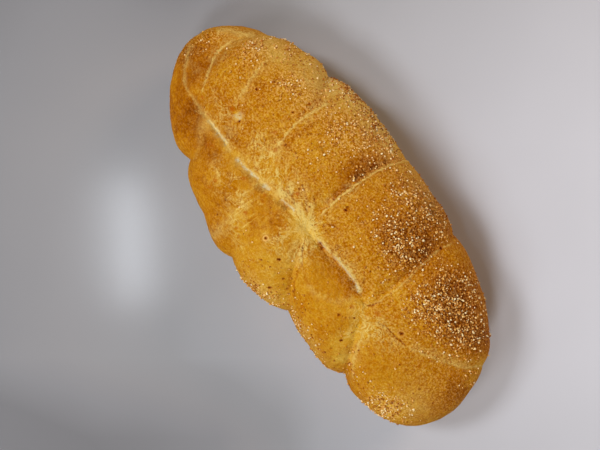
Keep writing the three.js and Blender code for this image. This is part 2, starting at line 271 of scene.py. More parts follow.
# Pits and scorched bubbles: x, y, radius, and how dark.
PITS = [
    (-97, 10, 1.2, 1.0), (-87, -11, 1.1, 1.0), (-125, -12, 0.9, 0.6), (-71, 20, 0.9, 0.9),
    (-57, 4, 1.1, 0.7), (-54, 5, 1.0, 0.4), (-63, 50, 0.9, 0.7), (-69, 41, 0.8, 0.6),
    (-70, 32, 1.0, 0.7), (-70, 37, 0.8, 0.5), (-1, 11, 1.3, 1.0), (-2, 13, 0.9, 0.7),
    (-11, 9, 1.0, 0.7), (0, -42, 1.1, 1.0), (12, -59, 1.2, 0.9), (19, -53, 1.0, 0.7),
    (12, -49, 1.0, 0.7), (51, -31, 1.0, 0.8), (55, -29, 0.8, 0.5), (59, -25, 0.9, 0.8),
    (66, -40, 1.1, 1.0), (84, -6, 1.4, 1.0), (121, -37, 1.0, 0.7), (121, -46, 0.9, 0.7),
    (122, -17, 1.0, 0.6), (56, 49, 1.4, 1.0), (56, -60, 0.9, 0.7), (99, -49, 0.9, 0.6),
    (59, -10, 0.8, 0.6), (72, 5, 1.3, 0.6), (70, 14, 1.3, 0.6), (51, 8, 1.0, 0.6), (99, 42, 1.4, 0.9),
    (-47, 52, 1.0, 0.6), (-49, 60, 0.9, 0.6), (-54, 19, 0.8, 0.5), (-53, 21, 0.8, 0.5),
    (-85, 7, 0.9, 0.4), (-85, 12, 0.9, 0.5), (-3, -53, 0.9, 0.5), (-29, -5, 1.1, 0.6),
    (-18, -1, 1.0, 0.6), (-21, 5, 1.2, 0.3), (-101, 47, 0.8, 0.5), (-95, 46, 0.8, 0.5),
    (7, -15, 1.4, 0.8), (10, -16, 1.4, 0.9), (-16, -40, 0.9, 0.9), (137, -15, 1.0, 0.6),
    (132, 9, 0.8, 0.5), (-14, 44, 1.0, 0.6), (67, -48, 0.9, 0.4), (80, 39, 1.1, 0.6),
    (81, 42, 1.0, 0.6), (118, 31, 1.0, 0.5), (19, 46, 1.0, 0.6), (31, 49, 1.0, 0.6), (46, 17, 0.9, 0.4),
]

# Reddish, hotter spots: x, y, radius, and how strong.
REDS = [
    (-96, -10, 1.5, 0.8), (-116, -22, 1.4, 0.7), (-105, -26, 1.0, 0.5), (-66, -46, 1.4, 0.7),
    (-65, -51, 1.4, 0.6), (-65, -64, 1.0, 0.5), (-37, -42, 1.4, 0.8), (-33, -53, 1.3, 0.7),
    (-56, -31, 1.4, 0.8), (-39, -26, 1.4, 0.7), (-36, -29, 1.3, 0.5), (-58, -3, 1.4, 0.7),
    (-67, 4, 1.3, 0.5), (-61, 30, 1.3, 0.5), (-53, -65, 1.0, 0.6), (65, -11, 1.8, 0.6),
    (52, -22, 1.5, 0.5), (-27, -8, 1.5, 0.9), (-28, -55, 1.1, 0.5), (70, -7, 1.4, 0.4),
    (73, -2, 1.4, 0.4), (77, -4, 1.0, 0.4), (-4, -10, 1.1, 0.4), (6, 0, 1.1, 0.4), (19, 0, 1.3, 0.4),
    (-88, -37, 1.8, 0.4), (-85, -35, 1.5, 0.4), (34, -48, 1.1, 0.4), (-14, -27, 1.4, 0.3),
    (-9, -55, 1.4, 0.3),
]

# Burst bubbles with a pale ring: x, y, the ring's radius, and how strong it is.
RINGS = [
    (-16, -40, 1.6, 0.8), (-100, 47, 1.3, 0.4), (84, -6, 2.2, 0.25), (29, 52, 1.4, 0.4),
    (-71, 20, 1.6, 0.2),
]

# Streaks of stretched dough: which way they run, and where. Those without a way fan out from a hub.
HUB = (-5, -17)
STREAKS = [
    {
        "way": (-0.79, 0.61),
        "patches": [
            (-100, -10, 26, 16, 0.5), (-50, -10, 30, 14, 0.9), (-96, -44, 26, 12, 0.4),
            (25, -24, 20, 9, 0.2),
        ],
    },
    {"way": (0.1, 1.0), "patches": [(-45, -42, 26, 14, 0.7)]},
    {"way": None, "patches": [(-8, -17, 26, 20, 1.15)]},
]

# Pale curly threads of dough, mostly beside the seam.
THREADS = [
    (-54, -12, 30, 10, 0.7), (-100, -16, 18, 8, 0.3), (-60, -38, 18, 10, 0.5), (-40, -46, 10, 14, 0.3),
    (-8, -16, 18, 14, 0.8), (-2, -34, 14, 10, 0.6), (-14, -56, 22, 8, 0.4), (30, -10, 20, 5, 0.5),
    (66, -28, 12, 12, 0.6), (-134, 8, 6, 20, 0.5), (-66, 24, 6, 24, 0.5), (-90, 46, 16, 10, 0.6),
    (70, -16, 20, 8, 0.5), (-30, -38, 10, 5, -0.5), (-66, 62, 20, 8, 0.6), (-24, 62, 14, 6, 0.8),
    (-10, 20, 5, 30, 0.4),
]

# How coarse the crust's fine speckle is: most on the right row, and less where it is smooth.
SPECKLE = {"left": 0.48, "right": 0.86, "from": -30, "to": -8}
SMOOTH_PATCHES = [
    (-134, -2, 10, 22, -0.60), (30, -22, 20, 7, -0.45), (-110, -36, 18, 10, -0.15),
    (-84, -36, 12, 8, -0.15), (-28, -30, 10, 5, -0.2), (-14, 32, 7, 22, -0.5),
    (-100, -12, 22, 12, -0.4), (-45, -8, 20, 8, -0.3),
]

# Dusty patches, pale and a little pink.
DUST_BASE = {"left": 0.10, "right": 0.30}
DUST = [
    (-134, -2, 12, 22, -0.20), (-18, 34, 7, 20, -0.15), (-40, 40, 14, 12, 0.65), (-30, 52, 16, 8, 0.6),
    (-56, 38, 10, 12, 0.3), (-84, 30, 14, 10, 0.8), (-76, 40, 12, 8, 0.4), (-122, 24, 10, 10, 0.8),
    (-120, 34, 8, 8, 0.5), (120, -43, 14, 9, 0.8), (128, -32, 12, 8, 0.5), (8, 50, 12, 10, 0.3),
    (-70, 61, 20, 8, 0.8), (-24, 60, 14, 6, 0.5), (-104, 50, 14, 8, 0.4), (96, 54, 14, 7, 0.2),
    (10, -64, 14, 6, 0.3), (-148, 10, 7, 9, 0.4), (48, -58, 12, 6, 0.3),
]

# Semolina: how much of it lies round these places.
SEMOLINA = [
    (84, 19, 14, 11, 0.9), (74, 10, 10, 8, 0.35), (102, 12, 14, 8, 0.4), (98, 27, 16, 13, 0.8),
    (80, 38, 12, 10, 0.9), (113, 28, 10, 12, 0.6), (76, 22, 10, 10, 0.8), (94, 50, 14, 7, 0.4),
    (30, 28, 16, 13, 0.9), (36, 13, 12, 7, 0.4), (26, 48, 16, 12, 1.0), (46, 30, 10, 14, 0.7),
    (10, 52, 12, 10, 0.6), (40, 58, 14, 8, 0.8), (-41, 30, 7, 12, 0.5), (-32, 50, 10, 9, 0.7),
    (-24, 60, 14, 5, 1.6), (-42, 58, 22, 8, 0.7), (-74, 54, 12, 8, 0.5), (-50, 42, 12, 12, 0.3),
    (-18, 40, 8, 16, 0.3), (-87, 28, 9, 9, 0.6), (-94, 48, 10, 7, 0.4), (-64, 62, 18, 5, 0.9),
    (-112, 44, 12, 6, 0.4), (-121, 14, 7, 10, 0.5), (-122, 28, 7, 7, 0.4), (-147, -1, 6, 8, 0.3),
    (121, -43, 12, 8, 0.9), (130, -34, 10, 8, 0.3), (9, -65, 12, 6, 0.6), (47, -58, 12, 6, 0.5),
    (141, 14, 5, 6, 0.4), (77, -34, 4, 7, 0.4), (88, -47, 5, 6, 0.4), (20, -48, 20, 4, 0.12),
    (28, -62, 12, 5, 0.3), (82, -62, 12, 5, 0.2), (75, 8, 22, 12, 0.10), (-60, 20, 70, 30, 0.03),
    (90, -35, 40, 20, 0.03), (20, 10, 30, 20, 0.05), (10, -50, 40, 12, 0.03),
]
GRAINS = {
    "count": 4900,
    "least": 0.6,
    "most": 1.9,
    "typical": 1.18,
    "sink": 0.3,
    "clump": 5,  # how wide the clumps are
}

# The largest grains, which can be told one by one: x, y and diameter.
LARGE_GRAINS = [
    (-24, 20, 1.5), (77, 9, 1.8), (87, 19, 1.7), (78, 18, 1.3), (76, 23, 1.4), (76, 33, 1.7),
    (72, 16, 1.2), (88, 37, 1.5), (90, 39, 1.3), (98, 36, 1.8), (92, 29, 1.3), (102, 50, 1.5),
    (106, 50, 1.3), (-87, 35, 1.5), (-50, 35, 1.5), (-41, 28, 1.4), (42, 38, 1.6), (31, 23, 1.3),
    (119, -34, 1.6), (119, -45, 1.4), (128, -47, 1.7), (54, -55, 1.4), (-134, 5, 1.2), (-117, 13, 1.3),
    (53, 47, 1.5), (35, 45, 1.4), (33, 54, 1.3), (26, 48, 1.4), (28, 38, 1.3), (26, 30, 1.2),
    (24, 24, 1.3), (35, 26, 1.2), (30, 34, 1.2), (75, 39, 1.4), (78, 41, 1.2), (105, 23, 1.3),
    (108, 26, 1.2), (110, 26, 1.1), (104, 38, 1.3), (103, 35, 1.1), (81, 32, 1.3), (104, 19, 1.3),
    (98, 11, 1.4), (90, -3, 1.2), (82, 8, 1.3), (98, 27, 1.4), (123, 15, 1.3), (113, 5, 1.1),
    (-81, 27, 1.4), (-92, 28, 1.1), (-80, 36, 1.1), (-43, 33, 1.3), (-42, 30, 1.2), (-41, 33, 1.1),
    (-15, 44, 1.4), (-29, 37, 1.2), (-26, 35, 1.1), (-30, 28, 1.1), (-50, 38, 1.2), (53, -9, 1.1),
    (67, 10, 1.3), (68, 13, 1.1), (72, 30, 1.1), (81, 39, 1.2), (117, 33, 1.2), (125, 41, 1.2),
    (116, 43, 1.2), (67, 44, 1.3), (62, 44, 1.1), (56, 39, 1.2), (49, 24, 1.3), (46, 25, 1.2),
    (54, 26, 1.2), (55, 31, 1.1), (48, 10, 1.2), (43, 19, 1.2), (8, -65, 1.3), (6, -65, 1.2),
    (18, -63, 1.3),
]

# ---- Small tools ----


def smooth(value):
    value = np.clip(value, 0, 1)
    return value * value * (3 - 2 * value)


def unit(vectors):
    return vectors / np.linalg.norm(vectors, axis=-1, keepdims=True)


def noise(points, size, seed):
    """Smooth noise of about -1 to 1, with features of the given size."""
    random = np.random.default_rng(seed)
    table = random.permutation(256)
    slopes = unit(random.normal(size=(256, 3)))
    place = points / size + 512
    cell = np.floor(place).astype(int)
    inside = place - cell
    weight = inside**3 * (inside * (inside * 6 - 15) + 10)
    total = np.zeros(len(points))
    for corner in product((0, 1), repeat=3):
        x, y, z = (cell + corner).T & 255
        slope = slopes[table[(table[(table[x] + y) & 255] + z) & 255]]
        share = np.where(corner, weight, 1 - weight).prod(axis=1)
        total += share * (slope * (inside - corner)).sum(axis=1)
    return total * 1.6


def route_line(route, steps=ROUTE_STEPS):
    """A smooth line through the points of a route."""
    points = np.array(route, float)
    last = len(points) - 1
    line = []
    for step in np.linspace(0, last, steps + 1):
        i = min(int(step), last - 1)
        t = step - i
        before, here, there, after = points[[max(i - 1, 0), i, i + 1, min(i + 2, last)]]
        leave, arrive = (there - before) / 2, (after - here) / 2
        line.append(
            (2 * here - 2 * there + leave + arrive) * t**3
            + (3 * there - 3 * here - 2 * leave - arrive) * t**2
            + leave * t
            + here
        )
    return np.array(line)


def nearest_on_line(line, x, y):
    """Each point's distance from a line, negative on its right, and how far along that is, 0 to 1."""
    distance = np.full(x.shape, np.inf)
    along = np.zeros(x.shape)
    for i, (start, step) in enumerate(zip(line[:-1], np.diff(line, axis=0))):
        dx, dy = x - start[0], y - start[1]
        share = np.clip((dx * step[0] + dy * step[1]) / (step @ step), 0, 1)
        here = np.hypot(dx - share * step[0], dy - share * step[1])
        nearer = here < np.abs(distance)
        side = np.where(step[0] * dy > step[1] * dx, 1, -1)
        distance[nearer] = (here * side)[nearer]
        along[nearer] = (i + share[nearer]) / (len(line) - 1)
    return distance, along


def patch(x, y, at, reach, turn=0):
    """A patch's strength: 1 at its centre, fading beyond its reach."""
    angle = math.radians(turn)
    dx, dy = x - at[0], y - at[1]
    along = (dx * math.cos(angle) + dy * math.sin(angle)) / reach[0]
    across = (dy * math.cos(angle) - dx * math.sin(angle)) / reach[1]
    return np.exp(-(along**2 + across**2))


# ---- The crust ----


def box_shell(cells):
    """Directions through a box's top and sides, the quads between them, and the bottom ring."""
    x_steps = np.linspace(-1, 1, cells["along"] + 1)
    y_steps = np.linspace(-1, 1, cells["across"] + 1)
    low_steps = np.linspace(-1, 0, cells["low"] + 1)[:-1]
    z_steps = np.concatenate([low_steps, np.linspace(0, 1, cells["high"] + 1)])
    ids = np.full((len(x_steps), len(y_steps), len(z_steps)), -1)
    shell = np.zeros(ids.shape, bool)
    shell[[0, -1]] = True
    shell[:, [0, -1]] = True
    shell[:, :, -1] = True
    ids[shell] = np.arange(shell.sum())
    i, j, k = np.argwhere(shell).T
    x, y, z = x_steps[i], y_steps[j], z_steps[k]
    directions = np.stack(
        [
            x * np.sqrt(1 - y**2 / 2 - z**2 / 2 + y**2 * z**2 / 3),
            y * np.sqrt(1 - z**2 / 2 - x**2 / 2 + z**2 * x**2 / 3),
            z * np.sqrt(1 - x**2 / 2 - y**2 / 2 + x**2 * y**2 / 3),
        ],
        axis=1,
    )

    def quads(sheet, turned):
        corners = [sheet[:-1, :-1], sheet[1:, :-1], sheet[1:, 1:], sheet[:-1, 1:]]
        return np.stack(corners[::-1] if turned else corners, axis=-1).reshape(-1, 4)

    faces = [quads(ids[:, :, -1], False), quads(ids[-1], False), quads(ids[0], True)]
    faces += [quads(ids[:, -1], True), quads(ids[:, 0], False)]
    low = ids[:, :, 0]
    ring = np.concatenate([low[:-1, 0], low[-1, :-1], low[:0:-1, -1], low[0, :0:-1]])
    return directions, np.concatenate(faces), ring


def body_points(directions):
    """The plain body's surface in each direction from the middle of its waist."""
    parts = np.abs(directions)
    powers = np.empty(parts.shape)
    powers[:, 0] = SQUARENESS["along"]
    powers[:, 1] = SQUARENESS["across"]
    powers[:, 2] = np.where(directions[:, 2] > 0, SQUARENESS["up"], SQUARENESS["down"])
    out = np.ones(len(parts))
    for _ in range(NEWTON_STEPS):
        terms = (out[:, None] * parts) ** powers
        out -= (terms.sum(axis=1) - 1) * out / (powers * terms).sum(axis=1)
    half_length, half_width = BODY["length"] / 2, BODY["width"] / 2
    x = directions[:, 0] * out * half_length
    across = directions[:, 1] * out * half_width
    slanted = smooth((x - BODY["slant_from"]) / (half_length - BODY["slant_from"]))
    y = across * (1 - BODY["taper"] * x / half_length) + BODY["slant"] * slanted
    rise = np.where(directions[:, 2] > 0, BODY["height"] - BODY["waist"], BODY["keel"])
    return np.stack([x, y, BODY["waist"] + directions[:, 2] * out * rise], axis=1)


def face_crosses(points, faces):
    """A vector along each quad's normal, twice as long as the quad is large."""
    corners = points[faces]
    return np.cross(corners[:, 2] - corners[:, 0], corners[:, 3] - corners[:, 1])


def vertex_normals(points, faces):
    """The mean normal of the quads round each vertex."""
    crosses = face_crosses(points, faces)
    normals = np.zeros(points.shape)
    for k in range(4):
        np.add.at(normals, faces[:, k], crosses)
    return unit(normals)


def crease_depth(x, y):
    total = 0
    for groove in CREASES.values():
        distance, along = nearest_on_line(route_line(groove["route"]), x, y)
        off = (np.hypot(distance, GROOVE["round"]) - GROOVE["round"]) / groove["reach"]
        narrow, wide = np.exp(-off / GROOVE["pinch"]), np.exp(-(off**2))
        shape = GROOVE["share"] * narrow + (1 - GROOVE["share"]) * wide
        depth = groove["depth"][0] + (groove["depth"][1] - groove["depth"][0]) * along
        total = total + (depth * shape) ** CREASE_BLEND
    return total ** (1 / CREASE_BLEND)


def add_patches(marks, name, x, y, patches):
    for px, py, along, across, amount in patches:
        marks[name] += amount * patch(x, y, (px, py), (along, across))


def add_lines(marks, body):
    """Wide lines are laid on the crust here. Fine ones leave their offset, for the shader to draw."""
    x, y, z = body.T
    drift = np.stack([noise(body, 9, 41), noise(body, 9, 42)]) * 0.6
    drift += np.stack([noise(body, 3.5, 43), noise(body, 3.5, 44)]) * 0.5
    ragged = 1 + 0.45 * noise(body, 7, 45) + 0.45 * noise(body, 3, 46)
    for kind in FINE_KINDS:
        marks[kind + "_off"] = np.full(len(x), FAR_OFF)
        marks[kind + "_line"] = np.zeros(len(x))
    for spec in LINES:
        line = route_line(spec["route"], 16)
        reach = 5 * spec["width"] + 2
        low, high = line.min(axis=0) - reach, line.max(axis=0) + reach
        inside = (x > low[0]) & (x < high[0]) & (y > low[1]) & (y < high[1])
        near = np.flatnonzero(inside & (z > TOP))
        distance, along = nearest_on_line(line, x[near] + drift[0][near], y[near] + drift[1][near])
        off = distance / (spec["width"] * ragged[near].clip(0.5, 1.5))
        ends = smooth(np.minimum(along, 1 - along) / 0.1) * ragged[near].clip(0.3, 1.1)
        for kind in FINE_KINDS:
            if kind not in spec:
                continue
            if spec["width"] >= WIDE:
                marks[kind][near] += spec[kind] * ends * np.exp(-(off**2))
                continue
            strength = spec[kind] * ends * np.exp(-((off / 2.5) ** 4))
            before = marks[kind + "_line"][near] * np.exp(-np.abs(marks[kind + "_off"][near]))
            better = strength * np.exp(-np.abs(off)) > before
            marks[kind + "_off"][near[better]] = off[better]
            marks[kind + "_line"][near[better]] = strength[better]
        width = max(spec["width"], LEAST_LIFT)
        marks["lift"][near] += spec.get("lift", 0) * ends * np.exp(-((distance / width) ** 2))


def add_spots(marks, name, x, y, z, spots):
    """Each point's offset from the nearest spot, in radii, and how strong that spot is."""
    marks[name + "_x"] = np.full(len(x), FAR_OFF)
    marks[name + "_y"] = np.full(len(x), FAR_OFF)
    marks[name] = np.zeros(len(x))
    for px, py, radius, amount in spots:
        off_x, off_y = (x - px) / radius, (y - py) / radius
        off = np.hypot(off_x, off_y)
        near = (off < np.hypot(marks[name + "_x"], marks[name + "_y"])) & (off < FAR_OFF) & (z > TOP)
        marks[name + "_x"][near] = off_x[near]
        marks[name + "_y"][near] = off_y[near]
        marks[name][near] = amount * np.exp(-((off[near] / 3) ** 4))


def surface_marks(body):
    """What lies on the crust at each point of it: browning, flour, some painted light and shade, and so on,
    and its lift.
    """
    x, y, z = body.T
    marks = {name: np.zeros(len(x)) for name in ("flour", "lift", "bake", "rough", "threads")}
    marks["bake"] += BROWN_BASE
    add_patches(marks, "bake", x, y, BROWN_AND_PAINTED_LIGHT)
    add_patches(marks, "flour", x, y, FLOURY_AND_PAINTED_LIGHT)
    add_patches(marks, "rough", x, y, SEMOLINA)
    add_patches(marks, "threads", x, y, THREADS)
    right = smooth((y - SPECKLE["from"]) / (SPECKLE["to"] - SPECKLE["from"]))
    even = 1 - 0.5 * right
    uneven = 0.07 * noise(body, 14, 51) + 0.08 * noise(body, 5.5, 52) + 0.08 * noise(body, 2.8, 53)
    marks["bake"] += even * uneven
    marks["speckle"] = SPECKLE["left"] + (SPECKLE["right"] - SPECKLE["left"]) * right
    add_patches(marks, "speckle", x, y, SMOOTH_PATCHES)
    marks["dust"] = DUST_BASE["left"] + (DUST_BASE["right"] - DUST_BASE["left"]) * right
    add_patches(marks, "dust", x, y, DUST)
    for k, spec in enumerate(STREAKS):
        marks[f"streak_{k}"] = np.zeros(len(x))
        add_patches(marks, f"streak_{k}", x, y, spec["patches"])
    add_lines(marks, body)
    add_spots(marks, "pit", x, y, z, PITS)
    add_spots(marks, "red", x, y, z, REDS)
    add_spots(marks, "ring", x, y, z, RINGS)
    for px, py, radius, amount in PITS:
        marks["lift"] -= 0.35 * amount * patch(x, y, (px, py), (radius + 0.2, radius + 0.2)) * (z > TOP)
    for px, py, radius, amount in RINGS:
        off = np.hypot(x - px, y - py) - radius
        marks["lift"] += 0.4 * amount * np.exp(-((off / 0.9) ** 2)) * (z > TOP)
    marks["lift"] += FILLED["lift"] * patch(x, y, FILLED["at"], FILLED["reach"]) * (z > TOP)
    marks["lift"] += marks["rough"].clip(0, 1) * (0.12 * noise(body, 2.4, 54) + 0.10 * noise(body, 1.5, 55))
    marks["rough"] = marks["rough"].clip(0, 1.5)
    return marks


def crust_form():
    """The crust's vertices and faces, the ring round its base, and the marks at each vertex."""
    directions, faces, ring = box_shell(CELLS)
    body = body_points(directions)
    normals = vertex_normals(body, faces)
    x, y, z = body.T
    lift = -crease_depth(x, y)
    for bump in SWELLS.values():
        lift += bump["lift"] * patch(x, y, bump["at"], bump["reach"], bump["turn"])
    lift += sum(height * noise(body, size, 11 + k) for k, (size, height) in enumerate(LUMPS))
    lift *= FADE["rest"] + (1 - FADE["rest"]) * smooth(z / FADE["level"])
    marks = surface_marks(body)
    lift += marks.pop("lift")
    points = body + normals * lift[:, None]
    points[:, 2] = (points[:, 2] + np.hypot(points[:, 2], BASE_ROUND)) / 2
    return points, faces, ring, marks


def close_base(points, faces, ring, marks):
    """Adds the flat underside: rings that shrink towards the middle, and a fan."""
    middle = points[ring].mean(axis=0)
    middle[2] = points[ring][:, 2].min()
    rows, all_points = [ring], [points]
    for k in range(1, BASE_RINGS):
        rows.append(len(points) + (k - 1) * len(ring) + np.arange(len(ring)))
        all_points.append(points[ring] * (1 - k / BASE_RINGS) + middle * k / BASE_RINGS)
    all_points = np.concatenate(all_points + [middle[None]])
    groups = [faces]
    for outer, inner in zip(rows[:-1], rows[1:]):
        groups.append(np.stack([outer, inner, np.roll(inner, -1), np.roll(outer, -1)], axis=1))
    centre = np.full(len(ring), len(all_points) - 1)
    groups.append(np.stack([rows[-1], centre, np.roll(rows[-1], -1)], axis=1))
    added = len(all_points) - len(points)
    marks = {
        name: np.concatenate([value, np.full(added, value[ring].mean())]) for name, value in marks.items()
    }
    return all_points, groups, marks


def centre_shift(points):
    """What brings the form's box over the middle of the solid's box, and onto the floor."""
    low, high = (np.array(corner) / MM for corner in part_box("loaf"))
    shift = (low + high) / 2 - (points.min(axis=0) + points.max(axis=0)) / 2
    shift[2] = low[2] - points[:, 2].min()
    return shift


def make_mesh(name, points, face_groups, marks, material):
    """A piece from its points in millimetres, its faces and its marks at each vertex."""
    mesh = bpy.data.meshes.new(name)
    faces = [face for group in face_groups for face in group.tolist()]
    mesh.from_pydata((points * MM).tolist(), [], faces)
    for key, value in marks.items():
        mesh.attributes.new(key, "FLOAT", "POINT").data.foreach_set("value", value.astype(np.float32))
    mesh.shade_smooth()
    mesh.materials.append(material)
    piece = bpy.data.objects.new(name, mesh)
    bpy.context.collection.objects.link(piece)
    return piece


# ---- Semolina ----


def icosahedron():
    golden = (1 + 5**0.5) / 2
    corners = []
    for a, b in product((-1, 1), (-golden, golden)):
        corners += [(0, a, b), (a, b, 0), (b, 0, a)]
    corners = np.array(corners, float)
    near = np.abs(np.linalg.norm(corners[:, None] - corners[None], axis=2) - 2) < 0.01
    faces = []
    for i, j, k in product(range(12), repeat=3):
        if i < j < k and near[i, j] and near[j, k] and near[i, k]:
            outward = np.cross(corners[j] - corners[i], corners[k] - corners[i]) @ corners[i] > 0
            faces.append((i, j, k) if outward else (i, k, j))
    return unit(corners), np.array(faces)


def semolina_places(points, faces, rough, random):
    """Faces drawn by area and density, a place on each, the normal there, and each grain's size."""
    crosses = face_crosses(points, faces)
    clump = GRAINS["clump"]
    clumps = smooth(0.45 + 1.0 * noise(points, clump, 61) + 0.6 * noise(points, clump / 2, 62))
    density = rough * (0.12 + clumps) * (points[:, 2] > BODY["waist"])
    chance = np.linalg.norm(crosses, axis=1) * density[faces].mean(axis=1)
    chosen = random.choice(len(faces), size=GRAINS["count"], p=chance / chance.sum())
    u, v = random.random((2, GRAINS["count"], 1))
    a, b, c, d = points[faces[chosen]].transpose(1, 0, 2)
    places = a * (1 - u) * (1 - v) + b * u * (1 - v) + c * u * v + d * (1 - u) * v
    sizes = GRAINS["typical"] * np.exp(random.normal(0, 0.30, GRAINS["count"]))
    middles = points[faces].mean(axis=1)
    middles[middles[:, 2] < BODY["waist"]] = np.inf
    mx, my = middles[:, 0], middles[:, 1]
    nearest = [np.argmin(np.hypot(mx - gx, my - gy)) for gx, gy, _ in LARGE_GRAINS]
    chosen = np.concatenate([chosen, nearest])
    places = np.concatenate([places, middles[nearest]])
    large = [size for _, _, size in LARGE_GRAINS]
    sizes = np.concatenate([np.clip(sizes, GRAINS["least"], GRAINS["most"]), large])
    return chosen, places, unit(crosses[chosen]), sizes


def make_semolina(points, faces, marks, shift, material):
    random = np.random.default_rng(5)
    chosen, places, normals, sizes = semolina_places(points, faces, marks["rough"], random)
    count = len(places)
    corners, triangles = icosahedron()
    shape = corners[None] * (1 + random.normal(0, 0.12, (count, len(corners), 1)))
    shape *= random.uniform(0.62, 1.0, (count, 1, 3))
    turn = np.linalg.qr(random.normal(size=(count, 3, 3)))[0]
    turn[:, :, 0] *= np.linalg.det(turn)[:, None]
    shape = np.einsum("nij,nkj->nki", turn, shape) * sizes[:, None, None] / 2
    places = places + normals * (sizes * (0.5 - GRAINS["sink"]))[:, None] + shift
    vertices = (shape + places[:, None]).reshape(-1, 3)
    grain_faces = triangles[None] + (np.arange(count) * len(corners))[:, None, None]
    # The tone is partly the grains' own colour and partly painted highlight: the grains are made paler to
    # stand in for glints of the lamps that they don't mirror.
    tone = random.random(count) ** 1.25 + np.where(np.arange(count) < GRAINS["count"], 0, 0.4)
    tone -= 0.4 * (marks["bake"][faces[chosen, 0]] - 1).clip(0, 0.6)
    marks = {"tone": np.repeat(tone, len(corners))}
    return make_mesh("bread_semolina", vertices, [grain_faces.reshape(-1, 3)], marks, material)


# ---- Materials ----


def colour(red, green, blue):
    """A screen colour, 0 to 255, as the shader's own."""
    parts = [value / 255 for value in (red, green, blue)]
    return [part / 12.92 if part <= 0.04045 else ((part + 0.055) / 1.055) ** 2.4 for part in parts] + [1]


def new_material(name, roughness, specular):
    material = bpy.data.materials.new(name)
    material.use_nodes = True
    tree = material.node_tree
    shader = tree.nodes["Principled BSDF"]
    shader.inputs["Roughness"].default_value = roughness
    shader.inputs["Specular IOR Level"].default_value = specular
    return material, tree, shader


def add(tree, kind, inputs=None, **settings):
    """A node with its settings, and its inputs as numbers or as sockets to link."""
    node = tree.nodes.new(kind)
    for key, value in settings.items():
        setattr(node, key, value)
    for key, value in (inputs or {}).items():
        if isinstance(value, bpy.types.NodeSocket):
            tree.links.new(value, node.inputs[key])
        else:
            node.inputs[key].default_value = value
    return node


def maths(tree, operation, a, b, clamp=False):
    return add(tree, "ShaderNodeMath", {0: a, 1: b}, operation=operation, use_clamp=clamp).outputs[0]


def plus(tree, a, b):
    return maths(tree, "ADD", a, b)


def minus(tree, a, b):
    return maths(tree, "SUBTRACT", a, b)


def times(tree, a, b):
    return maths(tree, "MULTIPLY", a, b)


def dot(tree, place, way):
    return add(tree, "ShaderNodeVectorMath", {0: place, 1: way}, operation="DOT_PRODUCT").outputs["Value"]


def cover(tree, amount, under, over, most=0.85):
    """The shade over laid on the shade under, by an amount of at most this share."""
    return mix(tree, maths(tree, "MINIMUM", amount, most, clamp=True), under, over)


def bell(tree, value):
    """1 where the value is 0, and less the higher it is."""
    return maths(tree, "EXPONENT", times(tree, value, -1), 0)


def attribute(tree, name):
    return add(tree, "ShaderNodeAttribute", attribute_name=name).outputs["Fac"]


def texture_noise(tree, place, size, detail=2.0, roughness=0.5, distortion=0.0):
    """Noise of 0 to 1 with features of a size in millimetres."""
    inputs = {"Vector": place, "Scale": 1 / (size * MM), "Detail": detail, "Roughness": roughness}
    inputs["Distortion"] = distortion
    return add(tree, "ShaderNodeTexNoise", inputs).outputs["Fac"]


def about_zero(tree, value, amount):
    return times(tree, minus(tree, value, 0.5), amount)


def rise(tree, value, low, high):
    """0 below low, 1 above high, and straight between."""
    inputs = {"Value": value, "From Min": low, "From Max": high}
    return add(tree, "ShaderNodeMapRange", inputs).outputs["Result"]


def ramp(tree, value, stops):
    node = add(tree, "ShaderNodeValToRGB", {"Fac": value})
    elements = node.color_ramp.elements
    while len(elements) < len(stops):
        elements.new(0.5)
    for element, (position, shade) in zip(elements, stops):
        element.position = position
        element.color = shade
    return node.outputs["Color"]


def mix(tree, share, a, b):
    node = tree.nodes.new("ShaderNodeMix")
    node.data_type = "RGBA"
    for socket, value in ((node.inputs[0], share), (node.inputs[6], a), (node.inputs[7], b)):
        if isinstance(value, bpy.types.NodeSocket):
            tree.links.new(value, socket)
        else:
            socket.default_value = value
    return node.outputs[2]


CRUST_SHADES = [
    (0.00, colour(224, 184, 84)),
    (0.20, colour(212, 160, 46)),
    (0.40, colour(197, 135, 20)),
    (0.60, colour(178, 107, 3)),
    (0.80, colour(146, 76, 1)),
    (1.00, colour(104, 46, 0)),
]
FLOUR_AND_PAINTED_LIGHT_SHADE = colour(227, 194, 106)
DUST_SHADE = colour(234, 184, 104)
ASH_SHADE = colour(214, 202, 158)
# The darkest shade: scorched crust, and painted shadow beside the seam's slits.
CHAR_AND_PAINTED_SHADOW_SHADE = colour(96, 36, 8)
RED_SHADE = colour(176, 84, 12)


